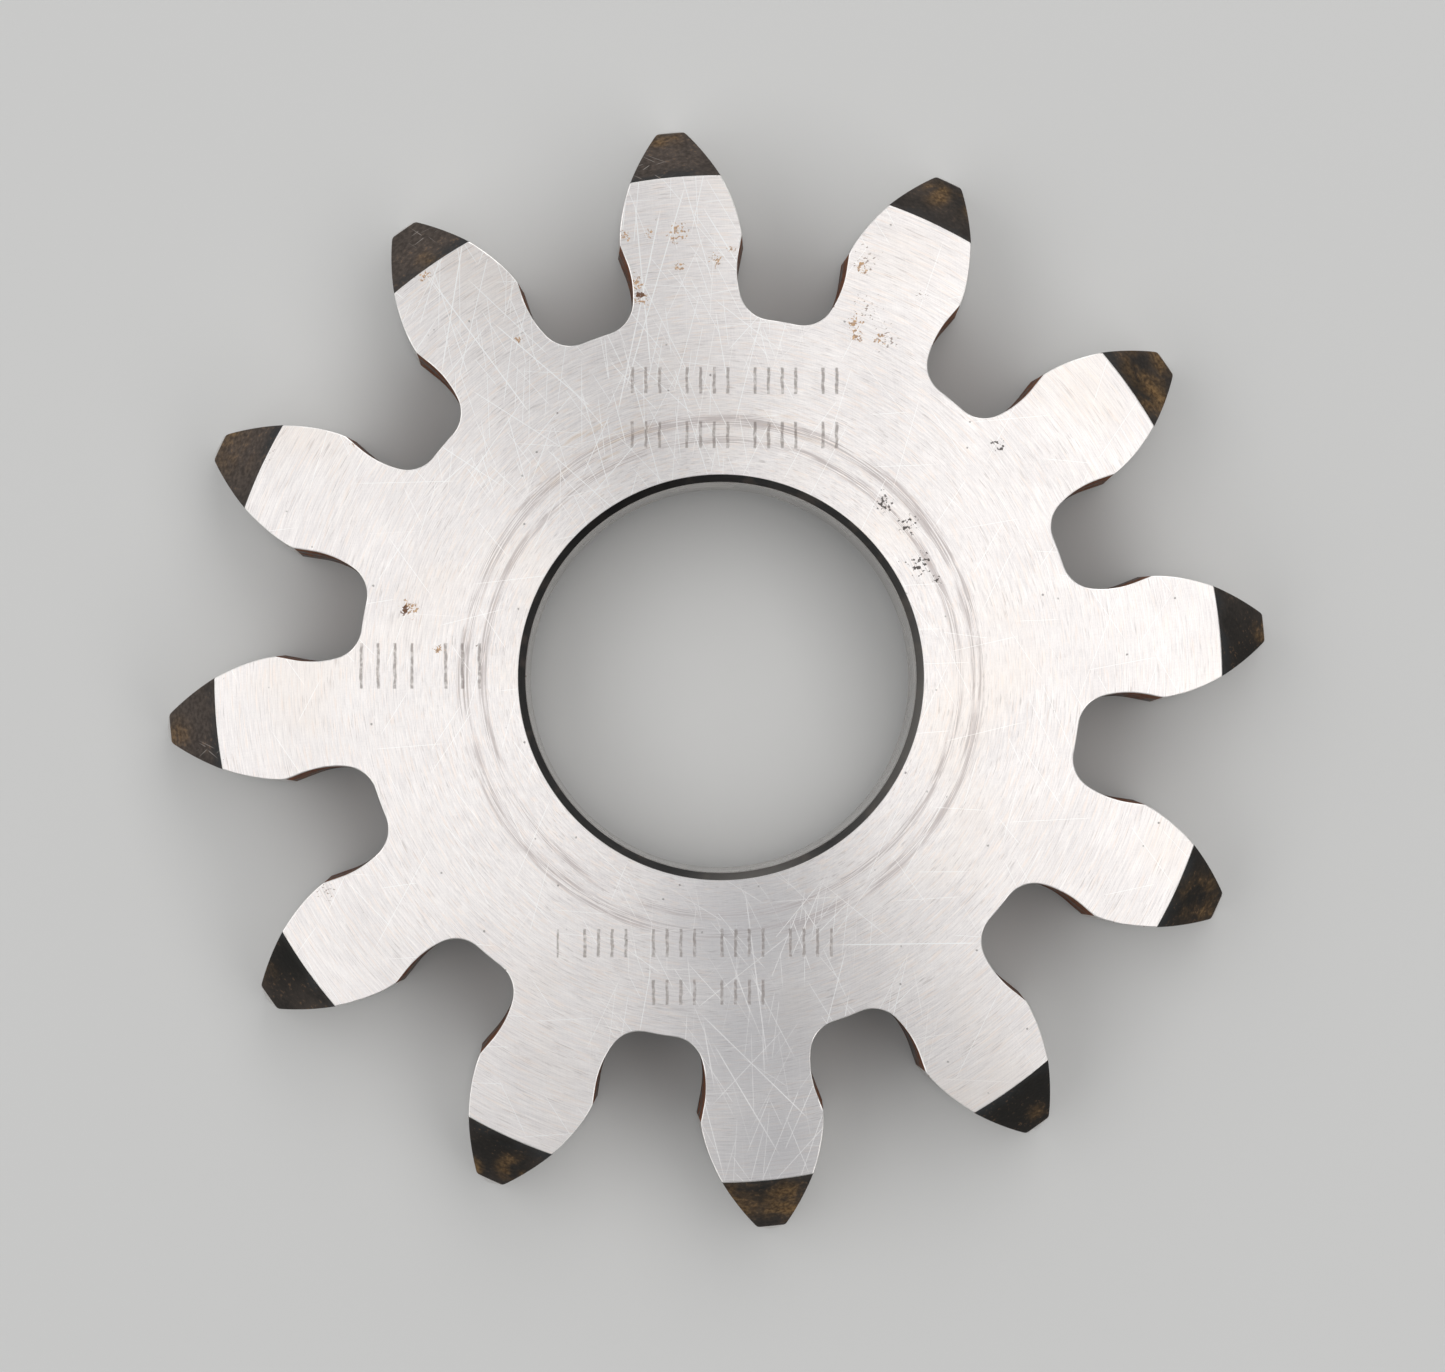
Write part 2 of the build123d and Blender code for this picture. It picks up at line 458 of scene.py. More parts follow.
class Surface:
    """One procedural material, with short names for the nodes that it is made of."""

    def __init__(self, name, metallic, roughness):
        self.material = bpy.data.materials.new(name)
        self.material.use_nodes = True
        self.tree = self.material.node_tree
        self.shader = self.tree.nodes["Principled BSDF"]
        self.set("Metallic", metallic)
        self.set("Roughness", roughness)
        place = self.make("ShaderNodeTexCoord").outputs["Object"]
        self.place = self.scaled(place, (1 / MM, 1 / MM, 1 / MM))
        self.x, self.y, self.z = self.make("ShaderNodeSeparateXYZ", Vector=self.place).outputs
        self.flat = self.combined(self.x, self.y, 0)
        self.radius = self.length(self.flat)
        self.angle = self.math("ARCTAN2", self.y, self.x)

    def make(self, kind, **values):
        node = self.tree.nodes.new(kind)
        for name, value in values.items():
            self.put(node.inputs[name], value)
        return node

    def put(self, socket, value):
        if isinstance(value, bpy.types.NodeSocket):
            self.tree.links.new(value, socket)
        else:
            socket.default_value = value

    def set(self, name, value):
        self.put(self.shader.inputs[name], value)

    def math(self, operation, *values):
        node = self.tree.nodes.new("ShaderNodeMath")
        node.operation = operation
        for socket, value in zip(node.inputs, values):
            self.put(socket, value)
        return node.outputs[0]

    def chain(self, operation, values):
        result, *others = values
        for value in others:
            result = self.math(operation, result, value)
        return result

    def sum(self, *values):
        return self.chain("ADD", values)

    def product(self, *values):
        return self.chain("MULTIPLY", values)

    def most(self, *values):
        return self.chain("MAXIMUM", values)

    def off(self, value, middle):
        """How far a value is from this one, either way."""
        return self.math("ABSOLUTE", self.math("SUBTRACT", value, middle))

    def vector_math(self, operation, *values):
        node = self.tree.nodes.new("ShaderNodeVectorMath")
        node.operation = operation
        for socket, value in zip(node.inputs, values):
            self.put(socket, value)
        return node

    def scaled(self, vector, factors):
        return self.vector_math("MULTIPLY", vector, factors).outputs["Vector"]

    def length(self, vector):
        return self.vector_math("LENGTH", vector).outputs["Value"]

    def dot(self, one, other):
        return self.vector_math("DOT_PRODUCT", one, other).outputs["Value"]

    def combined(self, x, y, z):
        return self.make("ShaderNodeCombineXYZ", X=x, Y=y, Z=z).outputs["Vector"]

    def noise(self, vector, scale=1.0, detail=2, distortion=0.0):
        node = self.make("ShaderNodeTexNoise", Vector=vector, Scale=scale, Detail=detail)
        node.inputs["Distortion"].default_value = distortion
        return node.outputs["Fac"]

    def between(self, value, start, end):
        """0 up to start, 1 from end on, smooth between; start may be the larger."""
        node = self.make("ShaderNodeMapRange", Value=value)
        node.interpolation_type = "SMOOTHSTEP"
        self.put(node.inputs["From Min"], start)
        self.put(node.inputs["From Max"], end)
        return node.outputs["Result"]

    def mix(self, factor, one, other):
        """A colour between two colours."""
        node = self.tree.nodes.new("ShaderNodeMix")
        node.data_type = "RGBA"
        self.put(node.inputs["Factor"], factor)
        self.put(node.inputs["A"], rgba(one))
        self.put(node.inputs["B"], rgba(other))
        return node.outputs["Result"]

    def layered(self, colour, layers):
        """A colour under layers, each given as its pattern, its strength and its own colour."""
        for pattern, strength, layer in layers:
            colour = self.mix(self.product(pattern, strength), colour, layer)
        return colour

    def blend(self, factor, one, other):
        """A number between two numbers."""
        node = self.make("ShaderNodeMix", Factor=factor)
        self.put(node.inputs["A"], one)
        self.put(node.inputs["B"], other)
        return node.outputs["Result"]

    def vary(self, tone, pattern, strength):
        """A tone plus a noise pattern centred on nought."""
        return self.sum(tone, self.product(self.math("SUBTRACT", pattern, 0.5), strength))

    def bump(self, height, distance):
        node = self.make("ShaderNodeBump", Height=height)
        node.inputs["Distance"].default_value = distance * MM
        self.set("Normal", node.outputs["Normal"])

    def spots(self, places):
        """1 at each of these places, fading to 0 at its reach."""
        return self.most(*[self.spot(*place) for place in places])

    def spot(self, degrees_round, radius, reach):
        """A place is given by its direction in the photograph's view, its radius and its reach."""
        point = view_direction(degrees_round) * radius
        away = self.vector_math("DISTANCE", self.flat, (*point, 0)).outputs["Value"]
        return self.between(away, reach, 0)


def view_direction(degrees_round):
    """A unit vector in plan that points this way round in the photograph's view."""
    return polar(1, radians(degrees_round) - VIEW_TURN)


def rgba(colour):
    if isinstance(colour, bpy.types.NodeSocket):
        return colour
    return (*colour, 1)


# ---------------------------------------------------------------- patterns

def lay_round(surface, across, along):
    """Coordinates that follow turning or grinding rings on a face: radius, then the way round."""
    return surface.combined(surface.product(surface.radius, across), *way_round(surface, along))


def lay_round_wall(surface, across, along):
    """The same on a round wall, where the rings lie one above the other."""
    return surface.combined(surface.product(surface.z, across), *way_round(surface, along))


def way_round(surface, along):
    return (
        surface.product(surface.math("COSINE", surface.angle), along),
        surface.product(surface.math("SINE", surface.angle), along),
    )


def lay_up(surface):
    """Coordinates for grinding lines that run from the cutting edge up to the back face."""
    return surface.scaled(surface.place, (3.2, 3.2, 0.22))


# Highlights are drawn out across the rings, so a quarter of a turn from them.
ANISOTROPY = 0.75
QUARTER_TURN = 0.25


def stretch_highlights(surface):
    """Makes highlights look as they do on a face that was ground round its axis."""
    tangent = surface.tree.nodes.new("ShaderNodeTangent")
    tangent.direction_type = "RADIAL"
    tangent.axis = "Z"
    surface.set("Tangent", tangent.outputs["Tangent"])
    surface.set("Anisotropic", ANISOTROPY)
    surface.set("Anisotropic Rotation", QUARTER_TURN)


def turned(surface, degrees_round):
    """Plan coordinates along and across a direction in the photograph's view."""
    along = view_direction(degrees_round)
    run = surface.sum(surface.product(surface.x, along.x), surface.product(surface.y, along.y))
    side = surface.sum(surface.product(surface.x, -along.y), surface.product(surface.y, along.x))
    return run, side


def scratches(surface, degrees_round, length, spacing, share, half_width):
    """Thin straight scratches that all run about one way, one in each of a share of cells."""
    run, side = turned(surface, degrees_round)
    grid = surface.combined(surface.product(run, 1 / length), surface.product(side, 1 / spacing), 0)
    cell = surface.make("ShaderNodeTexVoronoi", Vector=grid, Scale=1)
    cell.voronoi_dimensions = "2D"
    offset = surface.vector_math("SUBTRACT", grid, cell.outputs["Position"]).outputs["Vector"]
    along, across, _ = surface.make("ShaderNodeSeparateXYZ", Vector=offset).outputs
    tilt, reach, chance = surface.make("ShaderNodeSeparateColor", Color=cell.outputs["Color"]).outputs

    # Each scratch leans its own way, has its own length and fades towards its ends.
    lean = surface.product(along, surface.math("SUBTRACT", tilt, 0.5), 0.4 * length)
    away = surface.math("ABSOLUTE", surface.sum(surface.product(across, spacing), lean))
    end = surface.blend(reach, 0.15, 0.5)
    inside = surface.between(surface.math("ABSOLUTE", along), end, surface.product(end, 0.6))
    chosen = surface.between(chance, 1 - share, 1 - 0.6 * share)
    return surface.product(surface.between(away, half_width, 0.2 * half_width), inside, chosen)


def all_scratches(surface, families):
    return surface.most(*[scratches(surface, *family) for family in families])


def ragged(surface, strength, grain):
    """Spots broken up by a grain: solid where they are strong, scattered where they are weak."""
    return surface.between(surface.vary(strength, grain, 1.8), 0.5, 0.62)


# ---------------------------------------------------------------- the back face

# Colours, as linear red, green and blue.
BRIGHT_STEEL = (1.0, 0.96, 0.94)
DULL_STEEL = (0.66, 0.63, 0.632)
# Painted shade: a cooler, darker steel for a patch below the bore.
SCRATCHED_STEEL = (1.2, 1.18, 1.16)
PAINTED_SHADE_STEEL = (0.56, 0.56, 0.585)
OLD_OIL = (0.88, 0.80, 0.73)
WARM_DASH = (0.95, 0.82, 0.73)
DARK_DASH = (0.42, 0.37, 0.35)
RING_MARK = (0.40, 0.34, 0.33)
ORANGE_STREAK = (0.74, 0.56, 0.38)
ETCHED = (0.17, 0.135, 0.12)
PIT = (0.07, 0.058, 0.052)
SPECK = (0.24, 0.16, 0.12)
RUST = (0.62, 0.37, 0.16)
BROWN_RUST = (0.34, 0.19, 0.09)
DARK_RUST = (0.13, 0.055, 0.028)

# Two washers have turned under load here: the radius and the half width of their marks.
CLAMP_RINGS = ((33.0, 0.75), (30.5, 0.5))

# Rows of strokes in place of the markings: centre in the view, half length, half height, pitch.
ETCHED_ROWS = (
    ((1.8, 38.1), 14.1, 1.7, 1.75), ((1.8, 31.1), 14.1, 1.7, 1.75), ((-38.3, 1.4), 8.6, 2.9, 2.15),
    ((-2.4, -34.0), 18.6, 1.8, 1.75), ((-2.4, -40.3), 9.2, 1.6, 1.75),
)
STROKE_HALF_WIDTH = 0.19
STROKE_BLUR = 0.07
STROKE_WOBBLE = 0.3
STROKE_GROUP = 5

# Marks on the back face, each by its direction in the view, its radius and its reach.
RUST_SPOTS = (
    (95.5, 57.4, 3.2), (99.2, 57.7, 1.4), (102.3, 58.1, 1.6), (96, 53.1, 1.6), (90.7, 53.7, 2.2),
    (88.8, 55, 1.2), (102.4, 51.8, 2.4), (102.2, 49.8, 2.4), (69.4, 48.7, 2.4), (68.5, 47.2, 2.0),
    (65, 47.9, 1.8), (71.1, 55.8, 2.0), (147.3, 55.6, 1.6), (167.6, 40.8, 2.6), (174.3, 36.3, 1.5),
    (126.5, 63.9, 1.7), (121, 50.5, 1.3),
)
DARK_SPOTS = ((168, 41.3, 1.4), (172.6, 31.5, 0.5), (102.2, 50.2, 1.5))
SPECK_PATCHES = (
    (71, 57, 4.5), (68.5, 51, 5), (64, 48.5, 4.5), (62.4, 55.4, 2), (154, 65, 4), (208.5, 57.5, 3),
)
PIT_PATCHES = ((47, 30.6, 3), (39, 30.9, 3.1), (30, 29.3, 3.2), (24.7, 30.5, 1.6), (40, 46.5, 2.3))
# Painted shade below the bore, where the face is drawn cooler and darker.
PAINTED_SHADE_BELOW_BORE = ((274, 33, 18), (275, 47, 19), (276, 60, 15))
HANDLED = ((95, 55, 24), (125, 54, 28), (108, 36, 22), (277, 46, 28))
ORANGE_PLACE = (118, 33, 13)
FAINT_ORANGE_PLACE = (75, 33, 8)

# Families of scratches: direction in the view, length, spacing, share of cells and half width.
HANDLING_SCRATCHES = (
    (77, 26, 2.2, 0.7, 0.06), (107, 22, 2.6, 0.6, 0.06), (138, 20, 3.0, 0.6, 0.06),
    (48, 24, 3.4, 0.5, 0.06), (90, 14, 1.3, 0.7, 0.045), (119, 12, 1.6, 0.6, 0.045),
)
RARE_SCRATCHES = ((64, 18, 3.5, 0.6, 0.05), (125, 14, 3.2, 0.6, 0.05), (4, 16, 4.0, 0.6, 0.05))

# The longest scratches: the two ends of each, in the view, from the bore's axis.
LONG_SCRATCHES = (
    ((2.9, -26.3), (6.0, -50.0)), ((5.2, -43.9), (5.6, -52)), ((-3.4, -42.3), (12, -57.3)),
    ((-2.5, -43), (-0.7, -53.5)), ((13.8, -34.3), (34, -34.1)), ((-1.5, -46), (8, -62)),
    ((-4.5, 64), (-12.6, 36)), ((-11.3, 62.3), (-9, 38.5)), ((-2.9, 61.2), (3.4, 51)),
    ((-7.7, 61), (-13.5, 33)), ((-30, 46), (-16, 34)), ((-38, 52), (-24, 33)), ((-33, 57), (-36, 38)),
)
LONG_SCRATCH_HALF_WIDTH = 0.09
LONG_SCRATCH_TAPER = 4


def clamp_rings(surface):
    """Thin broken rings round the bore, where washers have turned under load."""
    pattern = surface.noise(lay_round(surface, 5, 2.5), detail=1)
    lines = surface.between(surface.off(pattern, 0.5), 0.12, 0.036)
    worn = surface.between(surface.noise(lay_round(surface, 0.8, 4), detail=3), 0.32, 0.52)
    bands = []
    for radius, half_width in CLAMP_RINGS:
        away = surface.off(surface.radius, radius)
        bands.append(surface.between(away, 1.5 * half_width, 0.6 * half_width))
    haze = surface.between(surface.noise(lay_round(surface, 5, 5)), 0.5, 0.7)
    marks = surface.most(lines, surface.product(haze, 0.35))
    return surface.product(surface.most(*bands), marks, worn)


def etched_row(surface, centre, half_length, half_height, pitch):
    """A row of plain upright strokes, of which the first in every group is left out."""
    run, rise = turned(surface, 0)
    run = surface.math("SUBTRACT", run, centre[0])
    ends = surface.between(surface.off(run, 0), half_length + 0.05, half_length - 0.05)
    sides = surface.between(surface.off(rise, centre[1]), half_height + 0.1, half_height - 0.1)
    wobble = surface.product(surface.noise(surface.flat, scale=0.9, detail=1), STROKE_WOBBLE)
    count = surface.product(surface.sum(run, wobble), 1 / pitch)
    away = surface.product(surface.off(surface.math("FRACT", count), 0.5), pitch)
    stroke = surface.between(away, STROKE_HALF_WIDTH + STROKE_BLUR, STROKE_HALF_WIDTH - STROKE_BLUR)
    group = surface.math("FRACT", surface.product(surface.math("FLOOR", count), 1 / STROKE_GROUP))
    return surface.product(ends, sides, stroke, surface.between(group, 0.1, 0.15))


def etched_marks(surface):
    rows = [etched_row(surface, *row) for row in ETCHED_ROWS]
    uneven = surface.between(surface.noise(surface.flat, scale=1.6), 0.3, 0.6)
    return surface.product(surface.most(*rows), surface.blend(uneven, 0.45, 1.0))


def rust_flecks(surface):
    """Small rust spots, most of them thin and orange, a few deep and brown."""
    grain = surface.noise(surface.flat, scale=2.3, detail=4, distortion=0.8)
    thin = ragged(surface, surface.product(surface.spots(RUST_SPOTS), 0.58), grain)
    deep = ragged(surface, surface.product(surface.spots(DARK_SPOTS), 0.7), grain)
    return thin, deep


def pits(surface):
    """Tiny dark pits: single ones anywhere, and patches near the bore and on some teeth."""
    cell = surface.make("ShaderNodeTexVoronoi", Vector=surface.flat, Scale=0.4)
    chance = surface.make("ShaderNodeSeparateColor", Color=cell.outputs["Color"]).outputs["Red"]
    reach = surface.blend(surface.noise(surface.flat, scale=3.5, detail=1), 0.02, 0.15)
    single = surface.between(cell.outputs["Distance"], reach, 0.02)
    single = surface.product(single, surface.between(chance, 0.62, 0.64), 0.75)
    run, side = turned(surface, 0)
    dashed = surface.noise(surface.combined(run, surface.product(side, 1.8), 0), scale=1.9, detail=3)
    specks = ragged(surface, surface.product(surface.spots(SPECK_PATCHES), 0.4), dashed)
    grain = surface.noise(surface.flat, scale=2.1)
    patches = ragged(surface, surface.product(surface.spots(PIT_PATCHES), 0.51), grain)
    return surface.most(single, patches), specks


def long_scratch(surface, start, end):
    """A thin straight mark that tapers off at both ends."""
    first, last = (rotated(Vector(point), -VIEW_TURN) for point in (start, end))
    span = (last - first).length
    along = (last - first).normalized()
    from_start = surface.vector_math("SUBTRACT", surface.flat, (*first, 0)).outputs["Vector"]
    run = surface.dot(from_start, (*along, 0))
    away = surface.math("ABSOLUTE", surface.dot(from_start, (-along.y, along.x, 0)))
    return surface.product(
        surface.between(away, LONG_SCRATCH_HALF_WIDTH, 0.2 * LONG_SCRATCH_HALF_WIDTH),
        surface.between(run, 0, LONG_SCRATCH_TAPER),
        surface.between(run, span, span - LONG_SCRATCH_TAPER),
    )


def face_scratches(surface):
    """All the bright scratches of the back face, thickest where it has been handled most."""
    handled = surface.between(surface.spots(HANDLED), 0.0, 0.4)
    return surface.most(
        surface.product(all_scratches(surface, HANDLING_SCRATCHES), handled),
        surface.product(all_scratches(surface, RARE_SCRATCHES), 0.6),
        *[long_scratch(surface, start, end) for start, end in LONG_SCRATCHES],
    )


def face_tone(surface):
    """Brightness of the concentric grinding lay, crossed by short lines from later rubbing."""
    lay = surface.noise(lay_round(surface, 9, 16))
    run, side = turned(surface, 95)
    upright = surface.combined(surface.product(run, 0.4), surface.product(side, 5), 3)
    level = surface.combined(surface.product(run, 5), surface.product(side, 0.4), 5)
    tone = surface.vary(0.62, lay, 0.95)
    tone = surface.vary(tone, surface.noise(lay_round(surface, 6, 18)), 0.85)
    tone = surface.vary(tone, surface.noise(upright), 0.3)
    tone = surface.vary(tone, surface.noise(level), 0.2)
    tone = surface.vary(tone, surface.noise(surface.flat, scale=4.5, detail=3), 0.4)
    return surface.vary(tone, surface.noise(surface.flat, scale=0.1, detail=3), 0.5), lay


def dark_dashes(surface):
    """Short dark lines along the lay, thinly spread over the whole face."""
    dashes = surface.noise(lay_round(surface, 7, 20), detail=1)
    sparse = surface.between(surface.noise(surface.flat, scale=0.25, detail=3), 0.35, 0.65)
    return surface.product(surface.between(dashes, 0.6, 0.7), surface.blend(sparse, 0.35, 1.0))


def warm_dashes(surface):
    """The faintest beginnings of rust, in short lines along the lay."""
    return surface.between(surface.noise(lay_round(surface, 3.5, 16)), 0.52, 0.7)


def orange_tint(surface):
    """Faint orange streaks along the lay, above the bore."""
    faint = surface.product(surface.spot(*FAINT_ORANGE_PLACE), 0.7)
    place = surface.most(surface.spot(*ORANGE_PLACE), faint)
    streaks = surface.between(surface.noise(lay_round(surface, 1.8, 8)), 0.5, 0.72)
    band = surface.between(surface.off(surface.radius, 34.5), 5, 1)
    return surface.product(place, streaks, band)


def back_face():
    """Surface-ground steel with a concentric lay, scratches, clamping marks, pits and rust, and a
    patch of painted shade below the bore.
    """
    s = Surface("back_face", metallic=1.0, roughness=0.4)
    stretch_highlights(s)
    tone, lay = face_tone(s)
    film = s.between(s.noise(s.flat, scale=0.045, detail=4), 0.5, 0.7)
    rings = clamp_rings(s)
    marks = face_scratches(s)
    etched = etched_marks(s)
    pitted, specks = pits(s)
    thin_rust, deep_rust = rust_flecks(s)
    rust_tone = s.between(s.noise(s.flat, scale=2.8, detail=3), 0.4, 0.6)
    s.set("Base Color", s.layered(s.mix(tone, DULL_STEEL, BRIGHT_STEEL), (
        (film, 0.35, OLD_OIL),
        (warm_dashes(s), 0.35, WARM_DASH),
        (dark_dashes(s), 0.4, DARK_DASH),
        (rings, 0.58, RING_MARK),
        (orange_tint(s), 0.5, ORANGE_STREAK),
        (marks, 1, SCRATCHED_STEEL),
        # Painted shade below the bore.
        (s.spots(PAINTED_SHADE_BELOW_BORE), 0.5, PAINTED_SHADE_STEEL),
        (etched, 0.62, ETCHED),
        (pitted, 0.92, PIT),
        (specks, 0.75, SPECK),
        (thin_rust, 0.85, s.mix(rust_tone, BROWN_RUST, RUST)),
        (deep_rust, 0.9, DARK_RUST),
    )))

    hollows = s.most(pitted, specks)
    spoiled = s.most(
        thin_rust, deep_rust, s.product(hollows, 0.7), s.product(etched, 0.5), s.product(rings, 0.3)
    )
    ground = s.blend(marks, s.blend(tone, 0.44, 0.37), 0.65)
    s.set("Metallic", s.blend(spoiled, 1.0, 0.25))
    s.set("Roughness", s.blend(spoiled, ground, 0.75))
    height = s.math("SUBTRACT", s.product(lay, 0.5), s.most(hollows, etched))
    s.bump(height, distance=0.006)


# ---------------------------------------------------------------- the other surfaces

# On the tooth ends' chamfers, each by its direction in the view, its radius and its reach.
# Painted light on the four teeth towards the window side, and painted shade on the teeth turned away.
LIT_LANDS = ((95, 67, 14), (125, 67, 14), (155, 67, 14), (185, 68, 14))
SHADED_LANDS = (
    (305, 67, 30), (245, 66, 9), (213, 66, 9), (2, 69, 12), (335, 67, 14), (35, 65, 6), (275, 64.5, 8),
)
RUSTY_LANDS = (
    (277, 68.5, 6), (272, 67.5, 5), (36.5, 69, 6.5), (33, 67, 4), (62, 70, 4.2), (66, 69, 3.4),
    (96, 71.2, 4), (89, 69, 3.4), (247, 68.5, 3.5), (243, 71, 2.5), (125.5, 65.2, 2.6), (5, 71.5, 3),
    (153, 70.5, 2), (129, 70.5, 2),
)
BROWNED_LANDS = ((155, 69.5, 6), (186, 70.5, 4), (213, 70, 3), (335, 69, 7), (306, 70, 2.5))
SCUFFED_LANDS = ((98, 66, 3.6), (188, 66, 2.4), (124, 69, 2.6))
LAND_SCUFFS = ((30, 3, 0.8, 0.6, 0.06), (150, 4, 1.1, 0.6, 0.06))

# On the bore's chamfer: painted light where it faces the window side, and painted shade where it faces
# away.
LIT_CHAMFER_PLACES = ((348, 26, 24), (280, 26, 12))
SHADED_CHAMFER_PLACES = ((120, 26, 22),)

# Oxide, scale and rust, with painted light on the lands and a painted dark reflection on the bore's
# chamfer, each from its darkest to its lightest.
LAND_OXIDE = ((0.024, 0.0195, 0.0165), (0.060, 0.047, 0.039))
# Painted light on the lands of the teeth towards the window side.
PAINTED_LIGHT_ON_LANDS = ((0.062, 0.047, 0.039), (0.125, 0.098, 0.082))
LAND_RUST = ((0.09, 0.052, 0.024), (0.28, 0.17, 0.075))
ROOT_SCALE = ((0.024, 0.020, 0.018), (0.070, 0.056, 0.048))
ROOT_RUST = ((0.12, 0.038, 0.016), (0.33, 0.12, 0.044))
# Painted dark reflection on the bore's chamfer.
PAINTED_DARK_REFLECTION = ((0.035, 0.034, 0.035), (0.085, 0.082, 0.08))

# Painted shade on the lands of the teeth turned away from the window side.
PAINTED_SHADE_ON_LANDS = (0.006, 0.0056, 0.0044)
BLUE_OXIDE = (0.022, 0.026, 0.029)
RUST_FLECK = (0.26, 0.15, 0.075)
SCUFFED_OXIDE = (0.40, 0.36, 0.33)
MILLED_RIDGE = (0.19, 0.165, 0.15)
PATCHY_CHAMFER = (0.11, 0.095, 0.085)
# Painted light and painted shade on the bore's chamfer.
PAINTED_LIGHT_CHAMFER = (0.24, 0.225, 0.21)
PAINTED_SHADE_CHAMFER = (0.012, 0.011, 0.011)
STAIN = (0.30, 0.22, 0.16)
GREY_STEEL = (0.42, 0.405, 0.39)
PALE_STEEL = (0.80, 0.775, 0.75)
GREY_EDGE = (0.62, 0.6, 0.58)
PALE_EDGE = (0.95, 0.93, 0.91)


def land_rust(surface):
    """Rust on the tooth ends' chamfers, in soft patches drawn out along the edge."""
    browned = surface.product(surface.spots(BROWNED_LANDS), 0.55)
    bloom = surface.between(surface.most(surface.spots(RUSTY_LANDS), browned), 0.0, 0.9)
    streaks = surface.between(surface.noise(lay_round(surface, 0.9, 14), detail=3), 0.35, 0.65)
    patchy = surface.noise(surface.place, scale=0.3, detail=4, distortion=0.4)
    patchy = surface.between(patchy, 0.3, 0.62)
    return surface.product(bloom, patchy, surface.blend(streaks, 0.55, 1.0))


def tip_land():
    """The chamfer behind each tooth's end: dark oxide from hardening, with rust coming through, and
    painted light and painted shade by the side that each tooth faces.
    """
    s = Surface("tip_land", metallic=0.2, roughness=0.55)
    s.set("Specular IOR Level", 0.16)
    grain = s.noise(s.place, scale=1.9, detail=5)
    broad = s.noise(s.place, scale=0.2, detail=3)
    tone = s.vary(s.between(broad, 0.3, 0.7), grain, 1.6)
    coarse = s.between(grain, 0.3, 0.7)
    rust = land_rust(s)
    flecks = s.product(s.between(grain, 0.6, 0.68), s.between(broad, 0.4, 0.6))
    scuffs = s.product(all_scratches(s, LAND_SCUFFS), s.spots(SCUFFED_LANDS))
    s.set("Base Color", s.layered(s.mix(tone, *LAND_OXIDE), (
        # Painted light and painted shade on the lands, by the side that each tooth faces.
        (s.spots(LIT_LANDS), 0.6, s.mix(coarse, *PAINTED_LIGHT_ON_LANDS)),
        (s.spots(SHADED_LANDS), 0.85, PAINTED_SHADE_ON_LANDS),
        (bluing(s, broad), 0.75, BLUE_OXIDE),
        (rust, 0.85, s.mix(coarse, *LAND_RUST)),
        (flecks, 0.3, RUST_FLECK),
        (scuffs, 1, SCUFFED_OXIDE),
    )))
    s.set("Roughness", s.blend(rust, s.blend(broad, 0.42, 0.58), 0.85))
    s.bump(s.sum(grain, s.product(rust, 0.8)), distance=0.03)


def bluing(surface, broad):
    """A trace of blue oxide beside the ground face."""
    beside_face = surface.between(surface.radius, 66.6, 64.8)
    return surface.product(beside_face, surface.between(broad, 0.4, 0.6))


def root_wall():
    """Milled and never ground: dark scale from hardening, rusted through in ragged patches."""
    s = Surface("root_wall", metallic=0.3, roughness=0.6)
    s.set("Specular IOR Level", 0.25)
    milling = s.noise(s.scaled(s.place, (2.6, 2.6, 0.35)))
    fine = s.noise(s.place, scale=1.8, detail=4)
    broad = s.noise(s.place, scale=0.28, detail=5, distortion=0.3)
    damp = s.product(s.between(s.z, THICKNESS - 9, THICKNESS - 1), 0.24)
    rusted = s.between(s.sum(s.vary(broad, fine, 0.5), damp), 0.42, 0.62)
    s.set("Base Color", s.layered(s.mix(fine, *ROOT_SCALE), (
        (rusted, 0.85, s.mix(s.between(fine, 0.35, 0.65), *ROOT_RUST)),
        (s.between(milling, 0.55, 0.75), 0.25, MILLED_RIDGE),
    )))
    s.set("Roughness", s.blend(rusted, s.blend(fine, 0.38, 0.55), 0.85))
    s.bump(s.sum(s.product(milling, 0.8), fine, s.product(rusted, 0.4)), distance=0.045)


def ground_steel(name, lay, roughness, depth, stain=0.25, dull=GREY_STEEL, bright=PALE_STEEL):
    """Ground steel whose fine lines follow the lay that the function gives."""
    s = Surface(name, metallic=1.0, roughness=roughness)
    lines = s.noise(lay(s), detail=3)
    tone = s.vary(s.vary(0.55, lines, 1.1), s.noise(s.place, scale=0.13, detail=3), 0.6)
    film = s.between(s.noise(s.place, scale=0.12, detail=5, distortion=0.3), 0.48, 0.8)
    specks = s.between(s.noise(s.place, scale=1.4, detail=4), 0.68, 0.74)
    s.set("Base Color", s.layered(s.mix(tone, dull, bright), (
        (film, stain, STAIN),
        (specks, 0.7, DARK_RUST),
    )))
    s.set("Metallic", s.blend(specks, 1.0, 0.3))
    s.set("Roughness", s.blend(s.most(s.product(film, 0.5), specks), roughness, 0.7))
    s.bump(lines, distance=depth)
    return s


